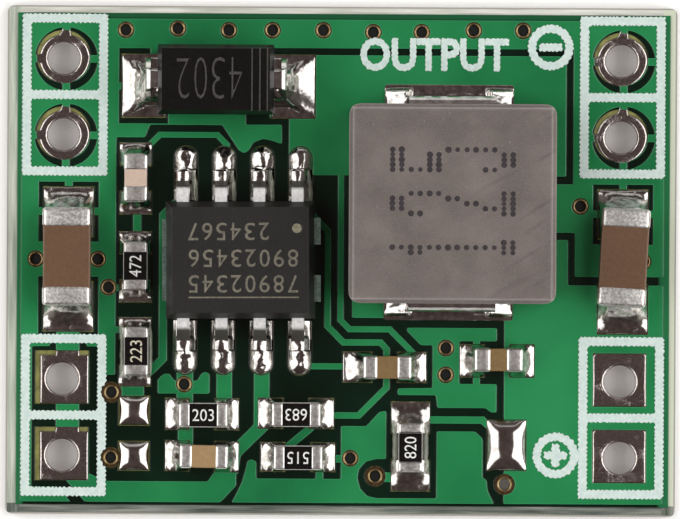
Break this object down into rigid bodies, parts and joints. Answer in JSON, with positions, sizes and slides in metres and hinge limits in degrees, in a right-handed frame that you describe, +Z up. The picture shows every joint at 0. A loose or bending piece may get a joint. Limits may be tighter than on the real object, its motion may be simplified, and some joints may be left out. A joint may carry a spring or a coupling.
{
  "type": "buck converter module",
  "caption": "Small step-down power board with a shielded power inductor, controller, rectifier, chip parts and plated wire holes at its input and output ends.",
  "frame": {"origin": "middle of the underside of the board, on the face that it rests on", "axes": "+X from the input end to the output end, +Y from the positive holes to the negative holes, +Z up, away from the board"},
  "size_m": [0.0222, 0.0168, 0.0041],
  "materials": {
    "laminate": "sawn glass-epoxy, cream white",
    "copper": "etched copper foil",
    "solder_mask": "glossy green coat",
    "print_ink": "white screen print",
    "tin_plating": "hot tinned, slightly rippled",
    "via_plating": "plated copper",
    "mould_compound": "fine moulded black epoxy",
    "tinned_leads": "matt tin over copper",
    "cut_frame": "sheared metal",
    "ferrite_powder": "pressed powder, warm grey",
    "brown_ceramic": "fired ceramic, satin",
    "tan_ceramic": "fired ceramic, satin",
    "cream_ceramic": "fired ceramic, satin",
    "white_ceramic": "alumina, matt",
    "resistor_glaze": "black overglaze",
    "end_caps": "plated tin, fine grained",
    "solder": "bright reflowed solder"
  },
  "bodies": {
    "root": {"barrels_input_negative": "tin_plating", "barrels_input_positive": "tin_plating", "barrels_output_negative": "tin_plating", "barrels_output_positive": "tin_plating", "laminate": "laminate", "copper_top": "copper", "copper_bottom": "copper", "solder_mask_top": "solder_mask", "solder_mask_bottom": "solder_mask", "silkscreen": "print_ink", "via_barrels": "via_plating", "controller_body": "mould_compound", "controller_leads": "tinned_leads", "controller_slug": "tinned_leads", "controller_tie_bars": "cut_frame", "rectifier_body": "mould_compound", "rectifier_leads": "tinned_leads", "inductor_body": "ferrite_powder", "inductor_terminals": "tinned_leads", "input_capacitor": "brown_ceramic", "input_capacitor_ends": "end_caps", "output_capacitor": "brown_ceramic", "output_capacitor_ends": "end_caps", "loop_capacitor": "cream_ceramic", "loop_capacitor_ends": "end_caps", "boot_capacitor": "tan_ceramic", "boot_capacitor_ends": "end_caps", "lead_capacitor": "tan_ceramic", "lead_capacitor_ends": "end_caps", "supply_capacitor": "tan_ceramic", "supply_capacitor_ends": "end_caps", "loop_resistor": "white_ceramic", "loop_resistor_coat": "resistor_glaze", "loop_resistor_ends": "end_caps", "lower_resistor": "white_ceramic", "lower_resistor_coat": "resistor_glaze", "lower_resistor_ends": "end_caps", "clock_resistor": "white_ceramic", "clock_resistor_coat": "resistor_glaze", "clock_resistor_ends": "end_caps", "enable_resistor_a": "white_ceramic", "enable_resistor_a_coat": "resistor_glaze", "enable_resistor_a_ends": "end_caps", "enable_resistor_b": "white_ceramic", "enable_resistor_b_coat": "resistor_glaze", "enable_resistor_b_ends": "end_caps", "upper_resistor": "white_ceramic", "upper_resistor_coat": "resistor_glaze", "upper_resistor_ends": "end_caps", "controller_solder": "solder", "rectifier_solder": "solder", "inductor_solder": "solder", "large_capacitor_solder": "solder", "small_capacitor_solder": "solder", "resistor_solder": "solder", "bridge_solder": "solder"}
  },
  "joints": []
}
